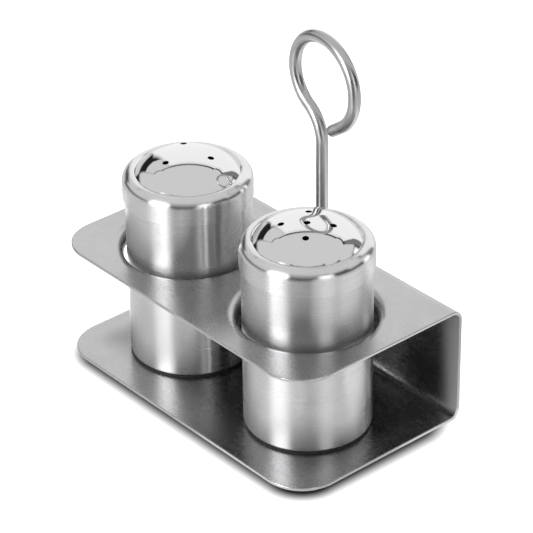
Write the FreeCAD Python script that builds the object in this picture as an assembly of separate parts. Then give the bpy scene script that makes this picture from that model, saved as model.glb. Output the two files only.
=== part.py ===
import FreeCAD, Part
import math
import os

# Salt and pepper set: a bent steel rack with a ring handle holds two shakers.
# Millimetres. Origin on the table under the middle of the rack. X runs along the rack,
# +Y points to its closed back wall, +Z is up.

# Steel sheet of the rack
sheet = 1.2
plate_gap = 42.4
bend_inside = 3.3
corner_radius = 15.0
edge_ease = 0.3

# Flat metal left round the two holes of the top plate
front_margin = 7.1
back_margin = 12.9
end_margin = 6.5
hole_web = 8.0

# Funnel-shaped collar that is drawn down round each hole
collar_roll = 2.8
collar_drop = 4.6
shaker_play = 1.0

# Wire of the handle
wire_diameter = 4.5
rod_setback = 5.35
neck_radius = 14.0
ring_start_radius = 15.2
ring_end_radius = 16.6
ring_height = 109.7
ring_offset = 0.5
ring_turn = -2.9
weld_leg = 1.1

# Where the ring's curve eases and where its tail leaves it, as directions in degrees
ring_change = 105.0
tail_start = -55.0
tail_length = 8.4
tail_aside = 12.0

# Shaker body, a drawn cup
body_radius = 22.5
body_height = 69.5
body_wall = 0.6
base_corner = 0.8
punt_radius = 17.0
punt_height = 1.0

# Moulded foot under the cup
foot_height = 0.8
foot_inset = 0.1
foot_recess_radius = 16.0
foot_recess_depth = 0.4
pad_clearance = 0.1

# Lid that slips over the cup
lid_wall = 0.6
lid_clearance = 0.1
lid_overlap = 7.2
shoulder_radius = 3.4
crest_width = 1.2
dome_height = 6.0
crown_radius = 46.0
knuckle_radius = 12.0

# Pouring holes, by distance from the middle and by direction in degrees
pour_diameter = 2.3
salt_ring_radius = 8.8
salt_directions = (45.0, 135.0, 225.0, 315.0)
pepper_near_radius = 8.4
pepper_far_radius = 10.8
pepper_near_directions = (42.0, 258.0)
pepper_far_direction = 147.0

# Sizes that follow from the ones above
collar_bore = body_radius + shaker_play
collar_outer = collar_bore + collar_roll + sheet
hole_spacing = 2 * collar_outer + hole_web
rack_length = hole_spacing + 2 * (collar_outer + end_margin)
rack_depth = front_margin + 2 * collar_outer + back_margin
rack_height = plate_gap + 2 * sheet
bend_outside = bend_inside + sheet
back_face = rack_depth / 2
front_edge = -rack_depth / 2
hole_y = front_edge + front_margin + collar_outer
rod_y = back_face - rod_setback
wire_radius = wire_diameter / 2
base_z = sheet + foot_height
rim_z = base_z + body_height
lid_inside = body_radius + lid_clearance
lid_radius = lid_inside + lid_wall
shoulder_inside = shoulder_radius - lid_wall
crest_radius = lid_radius - shoulder_radius
crease_radius = crest_radius - crest_width
rim_round = body_wall / 2
rim_reach = body_radius - rim_round - crest_radius
shoulder_z = rim_z - rim_round - math.sqrt((shoulder_inside - rim_round) ** 2 - rim_reach ** 2)
skirt_z = rim_z - lid_overlap
crease_z = shoulder_z + math.sqrt(shoulder_radius ** 2 - crest_width ** 2)
crown_z = crease_z + dome_height - crown_radius

Z_AXIS = FreeCAD.Vector(0, 0, 1)
ORIGIN = FreeCAD.Vector(0, 0, 0)


def line(start, end):
    return Part.LineSegment(start, end).toShape()


def arc(start, middle, end):
    return Part.Arc(start, middle, end).toShape()


def on_circle(centre, radius, degrees):
    """Point on a circle in the X-Z plane, given as (x, z) pairs."""
    angle = math.radians(degrees)
    return (centre[0] + radius * math.cos(angle), centre[1] + radius * math.sin(angle))


def point_xz(pair):
    return FreeCAD.Vector(pair[0], 0, pair[1])


def closed_face(edges):
    return Part.Face(Part.Wire(Part.__sortEdges__(edges)))


def revolved(edges):
    """Solid of revolution about the Z axis from a closed outline in the X-Z plane."""
    return closed_face(edges).revolve(ORIGIN, Z_AXIS, 360)


def outline(corners):
    """Straight edges through (radius, height) pairs."""
    points = [point_xz(corner) for corner in corners]
    return [line(a, b) for a, b in zip(points, points[1:])]


def bent_arc(centre, radius, start, end):
    """Arc in the X-Z plane between two directions in degrees."""
    middle = (start + end) / 2
    return arc(
        point_xz(on_circle(centre, radius, start)),
        point_xz(on_circle(centre, radius, middle)),
        point_xz(on_circle(centre, radius, end)),
    )


def rack_section():
    """C-shaped section of the bent sheet in the Y-Z plane, open to the front."""
    def at(y, z):
        return FreeCAD.Vector(-rack_length / 2, y, z)

    bend_y = back_face - bend_outside
    low_z = bend_outside
    high_z = rack_height - bend_outside
    slant_out = bend_outside / math.sqrt(2)
    slant_in = bend_inside / math.sqrt(2)
    wall_in = back_face - sheet
    edges = [
        line(at(front_edge, 0), at(bend_y, 0)),
        arc(at(bend_y, 0), at(bend_y + slant_out, low_z - slant_out), at(back_face, low_z)),
        line(at(back_face, low_z), at(back_face, high_z)),
        arc(at(back_face, high_z), at(bend_y + slant_out, high_z + slant_out), at(bend_y, rack_height)),
        line(at(bend_y, rack_height), at(front_edge, rack_height)),
        line(at(front_edge, rack_height), at(front_edge, rack_height - sheet)),
        line(at(front_edge, rack_height - sheet), at(bend_y, rack_height - sheet)),
        arc(at(bend_y, rack_height - sheet), at(bend_y + slant_in, high_z + slant_in), at(wall_in, high_z)),
        line(at(wall_in, high_z), at(wall_in, low_z)),
        arc(at(wall_in, low_z), at(bend_y + slant_in, low_z - slant_in), at(bend_y, sheet)),
        line(at(bend_y, sheet), at(front_edge, sheet)),
        line(at(front_edge, sheet), at(front_edge, 0)),
    ]
    return closed_face(edges)


def rounded_plan():
    """Block with the plan of the rack: round free corners, square ends at the back wall."""
    block = Part.makeBox(
        rack_length, rack_depth, rack_height, FreeCAD.Vector(-rack_length / 2, front_edge, 0)
    )
    corners = []
    for edge in block.Edges:
        middle = edge.CenterOfMass
        upright = abs(edge.tangentAt(edge.FirstParameter).z) > 0.5
        if upright and middle.y < 0:
            corners.append(edge)
    return block.makeFillet(corner_radius, corners)


def collar():
    """Rolled edge and short neck drawn down round a hole, centred on the Z axis."""
    roll_outside = collar_roll + sheet
    roll_centre = (collar_outer, rack_height - roll_outside)
    lower_z = rack_height - collar_drop
    edges = [
        bent_arc(roll_centre, roll_outside, 90, 180),
        line(point_xz(on_circle(roll_centre, roll_outside, 180)), point_xz((collar_bore, lower_z))),
        line(point_xz((collar_bore, lower_z)), point_xz((collar_bore + sheet, lower_z))),
        line(point_xz((collar_bore + sheet, lower_z)), point_xz(on_circle(roll_centre, collar_roll, 180))),
        bent_arc(roll_centre, collar_roll, 180, 90),
        line(point_xz(on_circle(roll_centre, collar_roll, 90)), point_xz(on_circle(roll_centre, roll_outside, 90))),
    ]
    return revolved(edges)


def shaker_places():
    """Plan positions of the two holes: pepper on the left, salt on the right."""
    half = hole_spacing / 2
    return {"pepper": FreeCAD.Vector(-half, hole_y, 0), "salt": FreeCAD.Vector(half, hole_y, 0)}


def square_edges(shape):
    """Edges where two faces meet at about a right angle."""
    found = []
    for edge in shape.Edges:
        middle = edge.valueAt((edge.FirstParameter + edge.LastParameter) / 2)
        faces = shape.ancestorsOfType(edge, Part.Face)
        if len(faces) != 2:
            continue
        first, second = (face.normalAt(*face.Surface.parameter(middle)) for face in faces)
        if first.getAngle(second) > math.radians(60):
            found.append(edge)
    return found


def make_rack():
    bent = rack_section().extrude(FreeCAD.Vector(rack_length, 0, 0))
    rack = bent.common(rounded_plan())
    for place in shaker_places().values():
        start = place + FreeCAD.Vector(0, 0, rack_height - 2 * sheet)
        rack = rack.cut(Part.makeCylinder(collar_outer, 3 * sheet, start))
    for place in shaker_places().values():
        ring = collar()
        ring.translate(place)
        rack = rack.fuse(ring)
    rack = rack.removeSplitter()
    return rack.makeFillet(edge_ease, square_edges(rack))


def wire_along(edges):
    """Round wire swept along a path of straight runs and tangent arcs."""
    path = Part.Wire(edges)
    start = edges[0].Vertexes[0].Point
    tangent = edges[0].tangentAt(edges[0].FirstParameter)
    ring = Part.Wire(Part.Circle(start, tangent, wire_radius).toShape())
    return path.makePipeShell([ring], True, True)


def bent_wire(foot_z):
    """Rod on the Z axis, neck and ring in the X-Z plane, and a tail that slips behind the rod."""
    ring_centre = (ring_offset, ring_height)
    reach = neck_radius + ring_start_radius
    neck_angle = math.degrees(math.acos((ring_offset + neck_radius) / reach))
    neck_z = ring_height - reach * math.sin(math.radians(neck_angle))
    neck_centre = (-neck_radius, neck_z)
    eased_centre = on_circle(ring_centre, ring_start_radius - ring_end_radius, ring_change)
    path = [
        line(point_xz((0, foot_z)), point_xz((0, neck_z))),
        bent_arc(neck_centre, neck_radius, 0, neck_angle),
        bent_arc(ring_centre, ring_start_radius, 180 + neck_angle, ring_change),
        bent_arc(eased_centre, ring_end_radius, ring_change, tail_start),
    ]
    wire = wire_along(path)
    start = point_xz(on_circle(eased_centre, ring_end_radius, tail_start))
    aside = math.radians(tail_aside)
    down = math.radians(tail_start)
    heading = FreeCAD.Vector(
        math.sin(down) * math.cos(aside), math.sin(aside), -math.cos(down) * math.cos(aside)
    )
    wire = wire.fuse(Part.makeSphere(wire_radius, start))
    return wire.fuse(Part.makeCylinder(wire_radius, tail_length, start, heading))


def weld_bead(foot_z):
    """Small concave weld round the foot of the rod."""
    centre = (wire_radius + weld_leg, rack_height + weld_leg)
    edges = outline([
        (wire_radius, rack_height + weld_leg),
        (wire_radius / 2, rack_height + weld_leg),
        (wire_radius / 2, foot_z),
        (wire_radius + weld_leg, foot_z),
        (wire_radius + weld_leg, rack_height),
    ])
    edges.append(bent_arc(centre, weld_leg, 270, 180))
    return revolved(edges)


def make_handle(rack):
    foot_z = rack_height - sheet / 2
    handle = bent_wire(foot_z).fuse(weld_bead(foot_z))
    handle.rotate(ORIGIN, Z_AXIS, ring_turn)
    handle.translate(FreeCAD.Vector(0, rod_y, 0))
    return handle.cut(rack).removeSplitter()


def make_body():
    """Thin drawn cup with a raised middle in its base and a rounded rim."""
    inside = body_radius - body_wall
    corner_in = base_corner - body_wall
    corner_centre = (body_radius - base_corner, base_z + base_corner)
    rim_low = rim_z - rim_round
    ceiling_z = base_z + punt_height
    edges = outline([
        (0, ceiling_z),
        (punt_radius, ceiling_z),
        (punt_radius, base_z),
        (corner_centre[0], base_z),
    ])
    edges.append(bent_arc(corner_centre, base_corner, 270, 360))
    edges += outline([(body_radius, corner_centre[1]), (body_radius, rim_low)])
    edges.append(bent_arc((body_radius - rim_round, rim_low), rim_round, 0, 180))
    edges += outline([(inside, rim_low), (inside, corner_centre[1])])
    edges.append(bent_arc(corner_centre, corner_in, 360, 270))
    edges += outline([
        (corner_centre[0], base_z + body_wall),
        (punt_radius + body_wall, base_z + body_wall),
        (punt_radius + body_wall, ceiling_z + body_wall),
        (0, ceiling_z + body_wall),
        (0, ceiling_z),
    ])
    return revolved(edges)


def make_foot():
    """Moulded foot whose pad sits in the raised middle of the cup's base."""
    foot_radius = body_radius - foot_inset
    pad_radius = punt_radius - pad_clearance
    pad_z = base_z + punt_height - pad_clearance
    recess_z = sheet + foot_recess_depth
    return revolved(outline([
        (0, recess_z),
        (foot_recess_radius, recess_z),
        (foot_recess_radius, sheet),
        (foot_radius, sheet),
        (foot_radius, base_z),
        (pad_radius, base_z),
        (pad_radius, pad_z),
        (0, pad_z),
        (0, recess_z),
    ]))


def circles_meet(centre_a, radius_a, centre_b, radius_b, side):
    """One of the two points where two circles cross, chosen by side, +1 or -1."""
    step_x = centre_b[0] - centre_a[0]
    step_z = centre_b[1] - centre_a[1]
    distance = math.hypot(step_x, step_z)
    along = (distance ** 2 + radius_a ** 2 - radius_b ** 2) / (2 * distance)
    across = side * math.sqrt(radius_a ** 2 - along ** 2)
    x = centre_a[0] + (along * step_x - across * step_z) / distance
    z = centre_a[1] + (along * step_z + across * step_x) / distance
    return (x, z)


def direction(centre, point):
    return math.degrees(math.atan2(point[1] - centre[1], point[0] - centre[0]))


def lid_shell(wall, low_z):
    """Closed solid bounded by the lid's surface set in by a wall thickness.

    The crown and the tighter knuckle round it are tangent, and meet the shoulder at the crease.
    """
    crown_centre = (0, crown_z)
    side_centre = (crest_radius, shoulder_z)
    side_r = shoulder_radius - wall
    knuckle_r = knuckle_radius - wall
    crease_out = (crease_radius, crease_z)
    knuckle_centre = circles_meet(
        crown_centre, crown_radius - knuckle_radius, crease_out, knuckle_radius, 1
    )
    crease = circles_meet(knuckle_centre, knuckle_r, side_centre, side_r, 1)
    crown_edge = direction(crown_centre, knuckle_centre)
    edges = outline([(0, low_z), (crest_radius + side_r, low_z), (crest_radius + side_r, shoulder_z)])
    edges.append(bent_arc(side_centre, side_r, 0, direction(side_centre, crease)))
    edges.append(bent_arc(knuckle_centre, knuckle_r, direction(knuckle_centre, crease), crown_edge))
    edges.append(bent_arc(crown_centre, crown_radius - wall, crown_edge, 90))
    edges += outline([(0, crown_z + crown_radius - wall), (0, low_z)])
    return revolved(edges)


def make_lid(holes):
    """Domed lid with pouring holes at the given distances and directions."""
    lid = lid_shell(0, skirt_z).cut(lid_shell(lid_wall, skirt_z - lid_wall))
    for distance, angle in holes:
        x, y = on_circle((0, 0), distance, angle)
        drill = Part.makeCylinder(pour_diameter / 2, 2 * dome_height, FreeCAD.Vector(x, y, crease_z - lid_wall))
        lid = lid.cut(drill)
    return lid


def main():
    rack = make_rack()
    pieces = {"rack": rack, "handle": make_handle(rack)}
    salt_holes = [(salt_ring_radius, angle) for angle in salt_directions] + [(0, 0)]
    pepper_holes = [(pepper_near_radius, angle) for angle in pepper_near_directions]
    pepper_holes.append((pepper_far_radius, pepper_far_direction))
    lids = {"salt": make_lid(salt_holes), "pepper": make_lid(pepper_holes)}
    for name, place in shaker_places().items():
        for piece, shape in (("body", make_body()), ("foot", make_foot()), ("lid", lids[name])):
            shape.translate(place)
            pieces[name + "_" + piece] = shape
    os.makedirs("parts", exist_ok=True)
    for name, shape in pieces.items():
        shape.exportStep("parts/" + name + ".step")


main()
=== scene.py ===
"""A steel salt and pepper set in its carried rack: finishes, studio, floor and camera."""

import functools
import math

import bmesh
import bpy
from bpy.props import FloatProperty, FloatVectorProperty, PointerProperty
from mathutils import Matrix, Vector


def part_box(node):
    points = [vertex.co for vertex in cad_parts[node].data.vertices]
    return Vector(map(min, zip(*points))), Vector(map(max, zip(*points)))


bl_info = {
    "name": "Salt and pepper rack",
    "version": (1, 0, 0),
    "blender": (4, 5, 0),
    "location": "View3D > Sidebar > Shaker set",
    "description": "Finishes a steel salt and pepper set and lights it in a small studio",
    "category": "Object",
}

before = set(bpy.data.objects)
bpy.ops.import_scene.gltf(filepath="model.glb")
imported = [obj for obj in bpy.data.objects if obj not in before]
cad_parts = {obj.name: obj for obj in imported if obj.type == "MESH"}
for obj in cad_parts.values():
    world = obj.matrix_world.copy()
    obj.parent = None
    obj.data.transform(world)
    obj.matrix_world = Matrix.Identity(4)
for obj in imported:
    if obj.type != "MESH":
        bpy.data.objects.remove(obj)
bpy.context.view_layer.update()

SHAKERS = ("salt", "pepper")
LID_FOOT, LID_TOP = (corner.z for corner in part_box("salt_lid"))
RACK_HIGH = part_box("rack")[1]

# Sizes of the rack that its box doesn't give
SHEET = 0.0012
CORNER_RADIUS = 0.015

# A height or length in metres that lies beyond the object on every side
FAR_OUT = 1.0

# Brush marks a metre along X, Y and Z, how deep they look, and handling marks a metre
SHEET_GRAIN = {"stretch": (800, 2600, 2600), "relief": 0.03, "marks_scale": 55}
WIRE_GRAIN = {"stretch": (900, 900, 900), "relief": 0.02, "marks_scale": 160}
TURNED_GRAIN = {"stretch": (25, 25, 2400), "relief": 0.02, "marks_scale": 70}
RELIEF_DEPTH = 0.0001

# What handling marks do to steel: share of its colour, and least and most share of its roughness
MARKED_STEEL = 0.93
STEEL_GLOSS = (0.92, 1.1)

# The same for the moulded feet, with their marks a metre and how deep these look
MARKED_FOOT = 1.6
FOOT_GLOSS = (0.85, 1.25)
FOOT_MARKS = 900.0
FOOT_RELIEF = 0.25

# Painted shade inside the fold of the rack, darkening the steel's colour: where it starts behind
# the open front, how far it keeps from the open ends, and over what lengths it comes in along X,
# Y and Z
FOLD_FRONT = -0.031
FOLD_END_CLEAR = 0.004
FOLD_EASE = (0.010, 0.014, 0.0002)

# Duller steel at the two ends of the back wall: its length, where it starts along Y and Z, over
# what lengths it comes in, and its roughness
WALL_END_LENGTH = 0.011
WALL_END_START = (0.018, 0.002)
WALL_END_EASE = (0.010, 0.012, 0.003)
WALL_END_ROUGHNESS = 0.65

# Half widths of the soft steps at a collar, half way up the rack, at a shoulder and at a dome
COLLAR_BLEND = 0.0006
MIDDLE_BLEND = 0.001
SHOULDER_BLEND = 0.0009
DOME_BLEND = 0.0002

BLACK = (0.0, 0.0, 0.0)
WHITE = (1.0, 1.0, 1.0, 1.0)

# Takes the height out of a direction
LEVEL = (1.0, 1.0, 0.0)

# Lit panels of the studio: turn from the camera, half width, elevation, half height and softness
# in degrees, and strength. Where two overlap the brighter one is seen.
PANELS = {
    "ceiling": (180, 190, 80, 34.9, 0.4, 0.82),
    "back wall, top": (164.5, 30.5, 35.6, 7.6, 0.4, 1.05),
    "back wall": (165, 30, 16, 25.5, 2, 1.18),
    "back corner, top": (-150, 15, 36, 8, 1, 0.82),
    "back corner": (-150, 15, 2, 9, 3, 0.80),
    "right wall, back": (130, 7, 22, 20, 3, 0.25),
    "right wall, top": (98, 25, 35, 13, 3, 0.82),
    "right wall, front": (60, 20, 42, 6, 2, 0.82),
    "right strip": (110, 8, 0, 20, 5, 2.00),
    "left wall": (-88, 47, 31, 17, 4, 0.82),
    "front wall": (-4, 32, 30, 14, 6, 0.45),
    "key light": (-49, 15, 10, 27, 9, 5.50),
    "fill light": (29, 11, 5, 27, 8, 1.95),
}

# Painted cards and light pools in the floor's glow, that only the steel's reflections see: turn
# from the camera, half width and softness in degrees, then the change of brightness near the rack
# and far from it
FLOOR_CARDS = {
    "front card": (-11, 20, 5, 0.35, -0.72),
    "key pool": (-47, 5, 5, 0.0, 1.65),
    "right card": (85, 36, 5, 0.4, 0.0),
    "back card": (-150, 20, 5, 1.2, 0.0),
}

# The same for every floor card: elevation and half height in degrees, and strength
CARD_ELEVATION = 0.0
CARD_HALF_HEIGHT = 45.0
CARD_STRENGTH = 1.0

# Radii between which the floor's near brightness gives way to its far one
NEAR_RADIUS = 0.13
FAR_RADIUS = 0.18

# The floor, and the contact shadow painted into its colour: how far it leans to the camera's side
# and how soft it is
FLOOR_HALF = 2.5
FLOOR_TILES = 8
FLOOR_DROP = 0.00005
SHADE_SHIFT = 0.0048
SHADE_SPREAD = 0.0044

OVERHEAD_PLACE = (0.1, -0.1, 1.3)
OVERHEAD_SIZE = 1.2

SENSOR_WIDTH = 36.0
CLIP_NEAR = 0.01
CLIP_FAR = 20.0


class SteelSettings(bpy.types.PropertyGroup):
    rack_tint: FloatVectorProperty(
        name="Rack colour",
        description="Colour of the rack's bent sheet",
        subtype="COLOR", size=3, min=0, max=1, default=(0.485, 0.485, 0.49),
    )
    cup_tint: FloatVectorProperty(
        name="Cup colour",
        description="Colour of the two drawn cups",
        subtype="COLOR", size=3, min=0, max=1, default=(0.66, 0.66, 0.665),
    )
    lid_tint: FloatVectorProperty(
        name="Lid colour",
        description="Colour of the two domed lids",
        subtype="COLOR", size=3, min=0, max=1, default=(0.70, 0.70, 0.705),
    )
    wire_tint: FloatVectorProperty(
        name="Handle colour",
        description="Colour of the bent wire handle",
        subtype="COLOR", size=3, min=0, max=1, default=(0.51, 0.51, 0.515),
    )
    rack_roughness: FloatProperty(
        name="Rack roughness",
        description="How matt the satin sheet of the rack is",
        subtype="FACTOR", min=0, max=1, default=0.27,
    )
    cup_roughness: FloatProperty(
        name="Cup roughness",
        description="How matt the brushed cups and the skirts of the lids are",
        subtype="FACTOR", min=0, max=1, default=0.28,
    )
    dome_tint: FloatVectorProperty(
        name="Dome colour",
        description="Colour of the polished tops of the lids",
        subtype="COLOR", size=3, min=0, max=1, default=(0.71, 0.71, 0.715),
    )
    dome_radius: FloatProperty(
        name="Dome radius",
        description="How far out the mirror polish of a lid reaches",
        unit="LENGTH", min=0, default=0.0191,
    )
    shoulder_roughness: FloatProperty(
        name="Shoulder roughness",
        description="How matt the rolled shoulders round the domes are",
        subtype="FACTOR", min=0, max=1, default=0.18,
    )
    dome_roughness: FloatProperty(
        name="Dome roughness",
        description="How matt the polished tops of the lids are",
        subtype="FACTOR", min=0, max=1, default=0.04,
    )
    wire_roughness: FloatProperty(
        name="Handle roughness",
        description="How matt the drawn wire of the handle is",
        subtype="FACTOR", min=0, max=1, default=0.29,
    )
    brush_stretch: FloatProperty(
        name="Brushing across the grain",
        description="How far the brushed cups spread a reflection across their brush marks",
        subtype="FACTOR", min=0, max=1, default=1.0,
    )
    # Painted shade: how much the steel's colour is darkened deep inside the fold
    inner_dark: FloatProperty(
        name="Shade inside the rack",
        description="How much darker the steel is deep inside the fold of the rack",
        subtype="FACTOR", min=0, max=1, default=0.42,
    )
    # Painted shade: how much the steel's colour is darkened inside the drawn collars
    collar_dark: FloatProperty(
        name="Shade in the collars",
        description="How much darker the steel is inside the drawn collars",
        subtype="FACTOR", min=0, max=1, default=0.22,
    )
    collar_radius: FloatProperty(
        name="Collar radius",
        description="How far out from a shaker's axis that shade reaches",
        unit="LENGTH", min=0, default=0.0252,
    )
    polish_edge: FloatProperty(
        name="Edge of the polish",
        description="Height on a lid where its brushed skirt gives way to the polished shoulder",
        unit="LENGTH", min=0, default=0.0712,
    )


class FootSettings(bpy.types.PropertyGroup):
    tint: FloatVectorProperty(
        name="Foot colour",
        description="Colour of the moulded feet under the cups",
        subtype="COLOR", size=3, min=0, max=1, default=(0.012, 0.012, 0.013),
    )
    roughness: FloatProperty(
        name="Foot roughness",
        description="How matt the moulded feet are",
        subtype="FACTOR", min=0, max=1, default=0.5,
    )


class StudioSettings(bpy.types.PropertyGroup):
    floor_tint: FloatVectorProperty(
        name="Floor colour",
        description="Colour of the pale floor",
        subtype="COLOR", size=3, min=0, max=1, default=(0.93, 0.93, 0.93),
    )
    mirrored_near: FloatProperty(
        name="Near floor in reflections",
        description="Brightness of the floor beside the rack as the steel mirrors it",
        min=0, soft_max=2, default=0.95,
    )
    mirrored_far: FloatProperty(
        name="Far floor in reflections",
        description="Brightness of the floor further out as the steel mirrors it",
        min=0, soft_max=2, default=0.84,
    )
    room_light: FloatProperty(
        name="Room light",
        description="Brightness of the studio between its lit panels",
        min=0, soft_max=2, default=0.02,
    )
    overhead_power: FloatProperty(
        name="Overhead light",
        description="Power of the broad light over the floor",
        unit="POWER", min=0, default=26.0,
    )
    # Painted shadow: how dark the contact shadow painted into the floor's colour is
    contact_dark: FloatProperty(
        name="Contact shadow",
        description="How dark the soft shadow along the front of the lower plate is",
        subtype="FACTOR", min=0, max=1, default=0.99,
    )


class CameraSettings(bpy.types.PropertyGroup):
    azimuth: FloatProperty(
        name="Azimuth",
        description="Direction of the camera round the rack, from its open front",
        subtype="ANGLE", default=math.radians(49.487),
    )
    elevation: FloatProperty(
        name="Elevation",
        description="Height of the camera over the table as an angle",
        subtype="ANGLE", default=math.radians(31.28),
    )
    roll: FloatProperty(
        name="Roll",
        description="Tilt of the picture",
        subtype="ANGLE", default=math.radians(-0.807),
    )
    distance: FloatProperty(
        name="Distance",
        description="From the camera to the point it looks at",
        unit="LENGTH", min=0.1, default=0.89235,
    )
    aim: FloatVectorProperty(
        name="Aim",
        description="The point the camera looks at",
        subtype="TRANSLATION", unit="LENGTH", size=3, default=(0.010345, -0.0029, 0.05302),
    )
    focal_length: FloatProperty(
        name="Focal length",
        description="Focal length in millimetres on a 36 mm wide sensor",
        min=10, max=400, default=175.4,
    )


SETTINGS = {
    "shaker_steel": SteelSettings,
    "shaker_foot": FootSettings,
    "shaker_studio": StudioSettings,
    "shaker_camera": CameraSettings,
}


def add_node(tree, kind, values=None, **options):
    """Node with its options set, and with numbers or other nodes' sockets put into its inputs."""
    node = tree.nodes.new(kind)
    for key, value in options.items():
        setattr(node, key, value)
    for key, value in (values or {}).items():
        if isinstance(value, bpy.types.NodeSocket):
            tree.links.new(value, node.inputs[key])
        else:
            node.inputs[key].default_value = value
    return node


def placed(tree, group, values):
    """One use of a node group, with its own values."""
    return add_node(tree, "ShaderNodeGroup", values, node_tree=group)


def calculate(tree, operation, first, second=0.0):
    """Output of a maths node on one or two numbers or sockets."""
    node = add_node(tree, "ShaderNodeMath", {0: first, 1: second}, operation=operation)
    return node.outputs[0]


def combine(tree, operation, first, second=(0.0, 0.0, 0.0)):
    """Vector output of a vector maths node on one or two vectors or sockets."""
    node = add_node(tree, "ShaderNodeVectorMath", {0: first, 1: second}, operation=operation)
    return node.outputs["Vector"]


def compare(tree, operation, first, second=(0.0, 0.0, 0.0)):
    """Number that a vector maths node gives for one or two vectors or sockets."""
    node = add_node(tree, "ShaderNodeVectorMath", {0: first, 1: second}, operation=operation)
    return node.outputs["Value"]


def split(tree, vector):
    """X, Y and Z outputs of a vector."""
    return add_node(tree, "ShaderNodeSeparateXYZ", {0: vector}).outputs


def object_point(tree):
    """Position on the object, in metres in the frame of the CAD model."""
    return add_node(tree, "ShaderNodeTexCoord").outputs["Object"]


def soft_step(tree, value, start, end):
    """0 on the start's side of a value and 1 on the end's, with a smooth step between."""
    node = add_node(
        tree, "ShaderNodeMapRange", {"Value": value, "From Min": start, "From Max": end},
        interpolation_type="SMOOTHSTEP",
    )
    return node.outputs[0]


def stretched(tree, value, **limits):
    """A value stretched from one range to another and held inside it."""
    sockets = {key.replace("_", " ").title(): limit for key, limit in limits.items()}
    node = add_node(tree, "ShaderNodeMapRange", {"Value": value, **sockets}, clamp=True)
    return node.outputs[0]


def mixed_colour(tree, mask, first, second):
    """First colour where a mask is 0 and second where it is 1, each three numbers or a socket."""
    mix = add_node(tree, "ShaderNodeMix", {"Factor": mask}, data_type="RGBA")
    for key, value in (("A", first), ("B", second)):
        socket = next(s for s in mix.inputs if s.name == key and s.type == "RGBA")
        if isinstance(value, bpy.types.NodeSocket):
            tree.links.new(value, socket)
        else:
            socket.default_value = tuple(value) + (1.0,)
    return next(s for s in mix.outputs if s.type == "RGBA")


def new_group(name, inputs, outputs):
    """Empty shader node group with named Float or Vector sockets, and its two end nodes."""
    group = bpy.data.node_groups.new(name, "ShaderNodeTree")
    for in_out, sockets in (("INPUT", inputs), ("OUTPUT", outputs)):
        for label, kind in sockets.items():
            group.interface.new_socket(name=label, in_out=in_out, socket_type="NodeSocket" + kind)
    return group, group.nodes.new("NodeGroupInput"), group.nodes.new("NodeGroupOutput")


def built_once(build):
    """Builds a node group of the function's name at its first use, and then shares it."""
    @functools.wraps(build)
    def fetch():
        return bpy.data.node_groups.get(build.__name__) or build()
    return fetch


@built_once
def brushed_grain():
    """Fine parallel brush marks: a height for relief and a shade for uneven gloss."""
    group, entry, leave = new_group(
        "brushed_grain", {"Stretch": "Vector"}, {"Height": "Float", "Shade": "Float"}
    )
    lines = combine(group, "MULTIPLY", object_point(group), entry.outputs["Stretch"])
    fine = add_node(
        group, "ShaderNodeTexNoise",
        {"Vector": lines, "Scale": 1.0, "Detail": 3.0, "Roughness": 0.65},
    ).outputs[0]
    broad = add_node(
        group, "ShaderNodeTexNoise",
        {"Vector": lines, "Scale": 0.23, "Detail": 2.0, "Roughness": 0.5},
    ).outputs[0]
    shade = stretched(group, calculate(group, "ADD", fine, broad), from_min=0.75, from_max=1.25)
    group.links.new(fine, leave.inputs["Height"])
    group.links.new(shade, leave.inputs["Shade"])
    return group


@built_once
def handling_marks():
    """Soft cloudy patches that hands and washing leave on steel."""
    group, entry, leave = new_group("handling_marks", {"Scale": "Float"}, {"Mask": "Float"})
    clouds = add_node(
        group, "ShaderNodeTexNoise",
        {"Vector": object_point(group), "Scale": entry.outputs["Scale"],
         "Detail": 4.0, "Roughness": 0.6, "Distortion": 0.6},
    ).outputs[0]
    mask = stretched(group, clouds, from_min=0.35, from_max=0.7)
    group.links.new(mask, leave.inputs["Mask"])
    return group


@built_once
def height_mask():
    """0 under a height and 1 over it, with a soft step."""
    group, entry, leave = new_group(
        "height_mask", {"Height": "Float", "Blend": "Float"}, {"Mask": "Float"}
    )
    height, blend = entry.outputs["Height"], entry.outputs["Blend"]
    low = calculate(group, "SUBTRACT", height, blend)
    high = calculate(group, "ADD", height, blend)
    mask = soft_step(group, split(group, object_point(group))["Z"], low, high)
    group.links.new(mask, leave.inputs["Mask"])
    return group


@built_once
def round_mask():
    """1 inside a radius round either shaker's axis, with a soft step."""
    group, entry, leave = new_group(
        "round_mask", {"Axis": "Vector", "Radius": "Float", "Blend": "Float"}, {"Mask": "Float"}
    )
    axes = split(group, object_point(group))
    side = calculate(group, "ABSOLUTE", axes["X"])
    point = add_node(group, "ShaderNodeCombineXYZ", {"X": side, "Y": axes["Y"]}).outputs[0]
    reach = compare(group, "DISTANCE", point, entry.outputs["Axis"])
    radius, blend = entry.outputs["Radius"], entry.outputs["Blend"]
    inner = calculate(group, "SUBTRACT", radius, blend)
    outer = calculate(group, "ADD", radius, blend)
    mask = soft_step(group, reach, outer, inner)
    group.links.new(mask, leave.inputs["Mask"])
    return group


@built_once
def inner_shade():
    """1 inside a box and its mirror image across X = 0, easing to 0 at the faces of the box."""
    group, entry, leave = new_group(
        "inner_shade", {"Low": "Vector", "High": "Vector", "Ease": "Vector"}, {"Mask": "Float"}
    )
    axes = split(group, object_point(group))
    side = calculate(group, "ABSOLUTE", axes["X"])
    low, high, ease = (split(group, entry.outputs[key]) for key in ("Low", "High", "Ease"))
    mask = 1.0
    for axis, value in (("X", side), ("Y", axes["Y"]), ("Z", axes["Z"])):
        over_low = calculate(group, "SUBTRACT", value, low[axis])
        under_high = calculate(group, "SUBTRACT", high[axis], value)
        for inward in (over_low, under_high):
            mask = calculate(group, "MULTIPLY", mask, soft_step(group, inward, 0.0, ease[axis]))
    group.links.new(mask, leave.inputs["Mask"])
    return group


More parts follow.
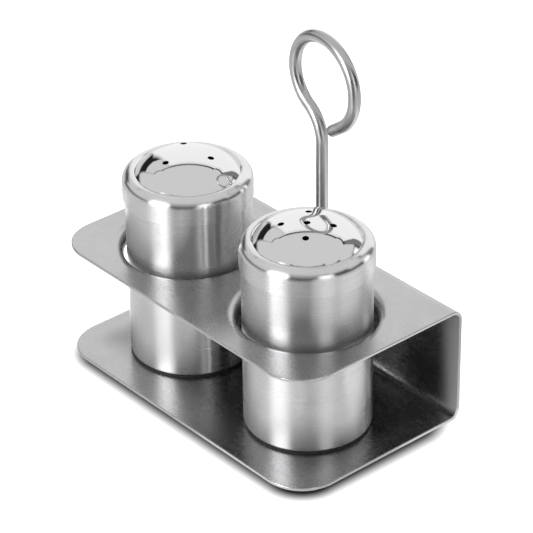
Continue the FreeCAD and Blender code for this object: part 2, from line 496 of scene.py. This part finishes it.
@built_once
def contact_shade():
    """1 over a rectangle with round corners on the floor, fading to 0 across its outline."""
    group, entry, leave = new_group(
        "contact_shade",
        {"Centre": "Vector", "Straight half": "Vector", "Corner": "Float", "Spread": "Float"},
        {"Shade": "Float"},
    )
    given = entry.outputs
    folded = combine(group, "SUBTRACT", object_point(group), given["Centre"])
    folded = combine(group, "ABSOLUTE", folded)
    outside = combine(group, "SUBTRACT", folded, given["Straight half"])
    outside = combine(group, "MAXIMUM", outside)
    distance = calculate(group, "SUBTRACT", compare(group, "LENGTH", outside), given["Corner"])
    inner = calculate(group, "MULTIPLY", given["Spread"], -1.0)
    shade = soft_step(group, distance, given["Spread"], inner)
    group.links.new(shade, leave.inputs["Shade"])
    return group


@built_once
def studio_panel():
    """A softly edged bright panel on the studio's wall, as seen in a direction."""
    group, entry, leave = new_group(
        "studio_panel",
        {"Direction": "Vector", "Facing": "Vector", "Half width": "Float", "Elevation": "Float",
         "Half height": "Float", "Softness": "Float", "Strength": "Float"},
        {"Light": "Float"},
    )
    given = entry.outputs
    level = combine(group, "NORMALIZE", combine(group, "MULTIPLY", given["Direction"], LEVEL))
    across = calculate(group, "ARCCOSINE", compare(group, "DOT_PRODUCT", level, given["Facing"]))
    rise = calculate(group, "ARCSINE", split(group, given["Direction"])["Z"])
    rise = calculate(group, "SUBTRACT", rise, given["Elevation"])
    rise = calculate(group, "ABSOLUTE", rise)
    light = given["Strength"]
    for offset, half in ((across, given["Half width"]), (rise, given["Half height"])):
        near = calculate(group, "SUBTRACT", half, given["Softness"])
        far = calculate(group, "ADD", half, given["Softness"])
        light = calculate(group, "MULTIPLY", light, soft_step(group, offset, far, near))
    group.links.new(light, leave.inputs["Light"])
    return group


def recolour(tree, surface, mask, colour):
    """Gives the surface another base colour where a mask is 1."""
    base = surface.inputs["Base Color"]
    tree.links.new(mixed_colour(tree, mask, base.links[0].from_socket, colour), base)


def fade_relief(tree, surface, mask):
    """Flattens the surface's relief where a mask is 1."""
    height = surface.inputs["Normal"].links[0].from_node.inputs["Height"]
    calm = calculate(tree, "SUBTRACT", 1.0, mask)
    tree.links.new(calculate(tree, "MULTIPLY", height.links[0].from_socket, calm), height)


def rougher(tree, surface, mask, roughness):
    """Gives the surface another roughness where a mask is 1."""
    gloss = surface.inputs["Roughness"]
    before = gloss.links[0].from_socket
    mixed = add_node(tree, "ShaderNodeMix", {"Factor": mask, "A": before, "B": roughness})
    tree.links.new(mixed.outputs[0], gloss)


def spread_upright(tree, surface):
    """Brush marks run round the axis, so reflections spread up and down."""
    tangent = add_node(tree, "ShaderNodeTangent", direction_type="RADIAL", axis="Z")
    tree.links.new(tangent.outputs[0], surface.inputs["Tangent"])
    surface.inputs["Anisotropic Rotation"].default_value = 0.25


def marked_surface(name, tint, marked, marks_scale):
    """Material whose colour follows handling marks. Returns it, its tree, shader and marks."""
    material = bpy.data.materials.new(name)
    material.use_nodes = True
    tree = material.node_tree
    tree.nodes.clear()
    surface = add_node(tree, "ShaderNodeBsdfPrincipled")
    add_node(tree, "ShaderNodeOutputMaterial", {"Surface": surface.outputs[0]})
    marks = placed(tree, handling_marks(), {"Scale": marks_scale}).outputs["Mask"]
    worn = [channel * marked for channel in tint]
    tree.links.new(mixed_colour(tree, marks, tint, worn), surface.inputs["Base Color"])
    return material, tree, surface, marks


def finish_surface(tree, surface, roughness, gloss, uneven, most, relief, height):
    """Roughness that follows an uneven value from 0 to its most, and relief from a height."""
    least_share, most_share = gloss
    varied = stretched(
        tree, uneven, from_min=0.0, from_max=most,
        to_min=roughness * least_share, to_max=roughness * most_share,
    )
    tree.links.new(varied, surface.inputs["Roughness"])
    bump = add_node(
        tree, "ShaderNodeBump", {"Strength": relief, "Distance": RELIEF_DEPTH, "Height": height}
    )
    tree.links.new(bump.outputs[0], surface.inputs["Normal"])


def steel(name, tint, roughness, stretch, relief, marks_scale, spread=0.0):
    """Brushed or drawn steel. Returns the material, its tree and its shader."""
    material, tree, surface, marks = marked_surface(name, tint, MARKED_STEEL, marks_scale)
    surface.inputs["Metallic"].default_value = 1.0
    surface.inputs["Anisotropic"].default_value = spread
    grain = placed(tree, brushed_grain(), {"Stretch": stretch}).outputs
    uneven = calculate(tree, "ADD", grain["Shade"], marks)
    finish_surface(
        tree, surface, roughness, STEEL_GLOSS, uneven, 2.0, relief, grain["Height"]
    )
    return material, tree, surface


def shaker_axis():
    """Where the salt shaker's axis meets the table."""
    low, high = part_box("salt_body")
    return ((low.x + high.x) / 2, (low.y + high.y) / 2, 0.0)


def dress(node_name, material):
    """Gives a CAD piece its material."""
    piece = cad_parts[node_name]
    if not piece.material_slots:
        piece.data.materials.append(material)
    for slot in piece.material_slots:
        slot.material = material
    for polygon in piece.data.polygons:
        polygon.material_index = 0


class SHAKERSET_OT_rack(bpy.types.Operator):
    """Gives the bent rack its satin steel, with painted shade in its fold and collars"""

    bl_idname = "shakerset.rack"
    bl_label = "Finish the rack"

    def execute(self, context):
        steel_set = context.scene.shaker_steel
        material, tree, surface = steel(
            "satin_sheet", steel_set.rack_tint, steel_set.rack_roughness, **SHEET_GRAIN
        )
        middle_z, inner_z = RACK_HIGH.z / 2, RACK_HIGH.z - SHEET / 2
        fold = placed(tree, inner_shade(), {
            "Low": (-FAR_OUT, FOLD_FRONT, SHEET / 2),
            "High": (RACK_HIGH.x - FOLD_END_CLEAR, RACK_HIGH.y - SHEET / 2, inner_z),
            "Ease": FOLD_EASE,
        }).outputs["Mask"]
        # Painted shade: the steel's colour darkened deep inside the fold
        recolour(tree, surface, calculate(tree, "MULTIPLY", fold, steel_set.inner_dark), BLACK)
        fade_relief(tree, surface, fold)
        # Painted shade inside the drawn collars of the upper plate: the steel's colour darkened
        # round each shaker
        collar = placed(tree, round_mask(), {
            "Axis": shaker_axis(), "Radius": steel_set.collar_radius, "Blend": COLLAR_BLEND,
        }).outputs["Mask"]
        over = placed(tree, height_mask(), {"Height": middle_z, "Blend": MIDDLE_BLEND})
        dark = calculate(tree, "MULTIPLY", collar, over.outputs["Mask"])
        dark = calculate(tree, "MULTIPLY", dark, steel_set.collar_dark)
        recolour(tree, surface, dark, BLACK)
        ends = placed(tree, inner_shade(), {
            "Low": (RACK_HIGH.x - WALL_END_LENGTH, *WALL_END_START),
            "High": (FAR_OUT, FAR_OUT, inner_z),
            "Ease": WALL_END_EASE,
        }).outputs["Mask"]
        rougher(tree, surface, ends, WALL_END_ROUGHNESS)
        dress("rack", material)
        return {"FINISHED"}


class SHAKERSET_OT_handle(bpy.types.Operator):
    """Gives the ring handle its drawn wire"""

    bl_idname = "shakerset.handle"
    bl_label = "Finish the handle"

    def execute(self, context):
        steel_set = context.scene.shaker_steel
        material, _tree, _surface = steel(
            "drawn_wire", steel_set.wire_tint, steel_set.wire_roughness, **WIRE_GRAIN
        )
        dress("handle", material)
        return {"FINISHED"}


class SHAKERSET_OT_cups(bpy.types.Operator):
    """Gives both cups their brushed steel"""

    bl_idname = "shakerset.cups"
    bl_label = "Finish the cups"

    def execute(self, context):
        steel_set = context.scene.shaker_steel
        material, tree, surface = steel(
            "brushed_cup", steel_set.cup_tint, steel_set.cup_roughness,
            spread=steel_set.brush_stretch, **TURNED_GRAIN,
        )
        spread_upright(tree, surface)
        for shaker in SHAKERS:
            dress(shaker + "_body", material)
        return {"FINISHED"}


class SHAKERSET_OT_lids(bpy.types.Operator):
    """Gives both lids a polished dome and a brushed skirt"""

    bl_idname = "shakerset.lids"
    bl_label = "Finish the lids"

    def execute(self, context):
        steel_set = context.scene.shaker_steel
        if not LID_FOOT < steel_set.polish_edge < LID_TOP:
            raise RuntimeError("the edge of the polish lies outside the lid")
        material, tree, surface = steel(
            "polished_lid", steel_set.lid_tint, steel_set.cup_roughness,
            spread=steel_set.brush_stretch, **TURNED_GRAIN,
        )
        spread_upright(tree, surface)
        shoulder = placed(tree, height_mask(), {
            "Height": steel_set.polish_edge, "Blend": SHOULDER_BLEND,
        }).outputs["Mask"]
        fade_relief(tree, surface, shoulder)
        rougher(tree, surface, shoulder, steel_set.shoulder_roughness)
        dome = placed(tree, round_mask(), {
            "Axis": shaker_axis(), "Radius": steel_set.dome_radius, "Blend": DOME_BLEND,
        }).outputs["Mask"]
        dome = calculate(tree, "MULTIPLY", dome, shoulder)
        rougher(tree, surface, dome, steel_set.dome_roughness)
        recolour(tree, surface, dome, steel_set.dome_tint)
        for shaker in SHAKERS:
            dress(shaker + "_lid", material)
        return {"FINISHED"}


class SHAKERSET_OT_feet(bpy.types.Operator):
    """Gives both feet their moulded plastic"""

    bl_idname = "shakerset.feet"
    bl_label = "Finish the feet"

    def execute(self, context):
        foot = context.scene.shaker_foot
        material, tree, surface, marks = marked_surface(
            "moulded_foot", foot.tint, MARKED_FOOT, FOOT_MARKS
        )
        finish_surface(
            tree, surface, foot.roughness, FOOT_GLOSS, marks, 1.0, FOOT_RELIEF, marks
        )
        for shaker in SHAKERS:
            dress(shaker + "_foot", material)
        return {"FINISHED"}


def camera_axes(camera_set):
    """Unit vectors to the camera, to the right of the picture and up it, before any roll."""
    a, e = camera_set.azimuth, camera_set.elevation
    back = Vector((math.sin(a) * math.cos(e), -math.cos(a) * math.cos(e), math.sin(e)))
    right = Vector((math.cos(a), math.sin(a), 0))
    return back, right, back.cross(right)


def facing(camera_set, turn):
    """Level unit vector at a turn from the camera's direction, in degrees."""
    back, right, _up = camera_axes(camera_set)
    toward = Vector((back.x, back.y, 0)).normalized()
    angle = math.radians(turn)
    return toward * math.cos(angle) + right * math.sin(angle)


def lit_panel(tree, name, direction, camera_set, shape):
    """Light that one panel or card, given as in the tables above, sends along a direction."""
    turn, half_width, elevation, half_height, softness, strength = shape
    panel = placed(tree, studio_panel(), {
        "Direction": direction, "Facing": facing(camera_set, turn),
        "Half width": math.radians(half_width), "Elevation": math.radians(elevation),
        "Half height": math.radians(half_height), "Softness": math.radians(softness),
        "Strength": strength,
    })
    panel.label = name
    return panel.outputs["Light"]


def build_world(scene, studio, camera_set):
    """White backdrop for the camera, and the studio of lit panels that the steel mirrors."""
    world = bpy.data.worlds.new("small_studio")
    scene.world = world
    world.use_nodes = True
    tree = world.node_tree
    tree.nodes.clear()
    direction = add_node(tree, "ShaderNodeTexCoord").outputs["Generated"]
    direction = combine(tree, "NORMALIZE", direction)
    light = studio.room_light
    for name, shape in PANELS.items():
        panel = lit_panel(tree, name, direction, camera_set, shape)
        light = calculate(tree, "MAXIMUM", light, panel)
    lit = add_node(tree, "ShaderNodeBackground", {"Color": light})
    plain = add_node(tree, "ShaderNodeBackground", {"Color": WHITE})
    path = add_node(tree, "ShaderNodeLightPath")
    either = add_node(
        tree, "ShaderNodeMixShader",
        {0: path.outputs["Is Camera Ray"], 1: lit.outputs[0], 2: plain.outputs[0]},
    )
    add_node(tree, "ShaderNodeOutputWorld", {"Surface": either.outputs[0]})


def mirrored_floor(tree, studio, camera_set):
    """Brightness of the floor's painted glow, as the steel mirrors it."""
    level = combine(tree, "MULTIPLY", object_point(tree), LEVEL)
    outward = combine(tree, "NORMALIZE", level)
    far = soft_step(tree, compare(tree, "LENGTH", level), NEAR_RADIUS, FAR_RADIUS)
    near_light, far_light = studio.mirrored_near, studio.mirrored_far
    for name, (turn, half_width, softness, near_change, far_change) in FLOOR_CARDS.items():
        shape = (turn, half_width, CARD_ELEVATION, CARD_HALF_HEIGHT, softness, CARD_STRENGTH)
        card = lit_panel(tree, name, outward, camera_set, shape)
        if near_change:
            change = calculate(tree, "MULTIPLY", card, near_change)
            near_light = calculate(tree, "ADD", near_light, change)
        if far_change:
            change = calculate(tree, "MULTIPLY", card, far_change)
            far_light = calculate(tree, "ADD", far_light, change)
    both = add_node(tree, "ShaderNodeMix", {"Factor": far, "A": near_light, "B": far_light})
    return both.outputs[0]


def build_floor(scene, studio, camera_set):
    """Pale floor with a soft contact shadow painted into its colour, that glows in the steel's
    reflections as painted light standing in for a lit studio floor.
    """
    mesh = bpy.data.meshes.new("floor")
    shape = bmesh.new()
    bmesh.ops.create_grid(
        shape, x_segments=FLOOR_TILES, y_segments=FLOOR_TILES, size=FLOOR_HALF
    )
    shape.to_mesh(mesh)
    shape.free()
    floor = bpy.data.objects.new("floor", mesh)
    floor.location.z = -FLOOR_DROP
    scene.collection.objects.link(floor)
    material = bpy.data.materials.new("pale_floor")
    material.use_nodes = True
    tree = material.node_tree
    tree.nodes.clear()
    contact = placed(tree, contact_shade(), {
        "Centre": facing(camera_set, 0) * SHADE_SHIFT,
        "Straight half": (RACK_HIGH.x - CORNER_RADIUS, RACK_HIGH.y - CORNER_RADIUS, FAR_OUT),
        "Corner": CORNER_RADIUS, "Spread": SHADE_SPREAD,
    }).outputs["Shade"]
    # Painted shadow: the floor's colour darkened along the front of the rack's outline
    dark = calculate(tree, "MULTIPLY", contact, studio.contact_dark)
    colour = mixed_colour(tree, dark, studio.floor_tint, BLACK)
    seen = add_node(tree, "ShaderNodeBsdfDiffuse", {"Color": colour})
    # Painted light: in the steel's reflections the floor glows instead of being lit
    mirrored = add_node(
        tree, "ShaderNodeEmission",
        {"Color": WHITE, "Strength": mirrored_floor(tree, studio, camera_set)},
    )
    path = add_node(tree, "ShaderNodeLightPath")
    either = add_node(
        tree, "ShaderNodeMixShader",
        {0: path.outputs["Is Glossy Ray"], 1: seen.outputs[0], 2: mirrored.outputs[0]},
    )
    add_node(tree, "ShaderNodeOutputMaterial", {"Surface": either.outputs[0]})
    mesh.materials.append(material)


def hang_overhead(scene, power):
    """Broad soft light over the floor that doesn't show in the steel."""
    data = bpy.data.lights.new("overhead", "AREA")
    data.shape = "SQUARE"
    data.size = OVERHEAD_SIZE
    data.energy = power
    lamp = bpy.data.objects.new("overhead", data)
    lamp.location = OVERHEAD_PLACE
    lamp.rotation_euler = (-Vector(OVERHEAD_PLACE)).to_track_quat("-Z", "Y").to_euler()
    lamp.visible_glossy = False
    scene.collection.objects.link(lamp)


def place_camera(scene, camera_set):
    """Camera at its distance from the point it looks at, with its roll."""
    back, right, up = camera_axes(camera_set)
    roll = camera_set.roll
    across = right * math.cos(roll) + up * math.sin(roll)
    upward = up * math.cos(roll) - right * math.sin(roll)
    spot = Vector(camera_set.aim) + back * camera_set.distance
    data = bpy.data.cameras.new("camera")
    data.sensor_width = SENSOR_WIDTH
    data.lens = camera_set.focal_length
    data.clip_start = CLIP_NEAR
    data.clip_end = CLIP_FAR
    camera = bpy.data.objects.new("camera", data)
    camera.matrix_world = Matrix((
        (across.x, upward.x, back.x, spot.x),
        (across.y, upward.y, back.y, spot.y),
        (across.z, upward.z, back.z, spot.z),
        (0, 0, 0, 1),
    ))
    scene.collection.objects.link(camera)
    scene.camera = camera


class SHAKERSET_OT_stage(bpy.types.Operator):
    """Builds the pale floor, the soft studio and the camera"""

    bl_idname = "shakerset.stage"
    bl_label = "Build the stage"

    def execute(self, context):
        scene = context.scene
        build_world(scene, scene.shaker_studio, scene.shaker_camera)
        build_floor(scene, scene.shaker_studio, scene.shaker_camera)
        hang_overhead(scene, scene.shaker_studio.overhead_power)
        place_camera(scene, scene.shaker_camera)
        scene.view_settings.view_transform = "Standard"
        return {"FINISHED"}


PIECE_OPERATORS = (
    SHAKERSET_OT_rack,
    SHAKERSET_OT_handle,
    SHAKERSET_OT_cups,
    SHAKERSET_OT_lids,
    SHAKERSET_OT_feet,
    SHAKERSET_OT_stage,
)


class SHAKERSET_PT_panel(bpy.types.Panel):
    """Lists the steps that finish the set"""

    bl_idname = "SHAKERSET_PT_panel"
    bl_label = "Shaker set"
    bl_space_type = "VIEW_3D"
    bl_region_type = "UI"
    bl_category = "Shaker set"

    def draw(self, context):
        for name, settings in SETTINGS.items():
            box = self.layout.box()
            for key in settings.__annotations__:
                box.prop(getattr(context.scene, name), key)
        for step in PIECE_OPERATORS:
            self.layout.operator(step.bl_idname)


CLASSES = tuple(SETTINGS.values()) + PIECE_OPERATORS + (SHAKERSET_PT_panel,)


def register():
    for cls in CLASSES:
        bpy.utils.register_class(cls)
    for name, settings in SETTINGS.items():
        setattr(bpy.types.Scene, name, PointerProperty(type=settings))


def unregister():
    for name in SETTINGS:
        delattr(bpy.types.Scene, name)
    for cls in reversed(CLASSES):
        bpy.utils.unregister_class(cls)


def main():
    """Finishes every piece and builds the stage."""
    register()
    for step in PIECE_OPERATORS:
        area, name = step.bl_idname.split(".")
        getattr(getattr(bpy.ops, area), name)()


if __name__ == "__main__":
    main()
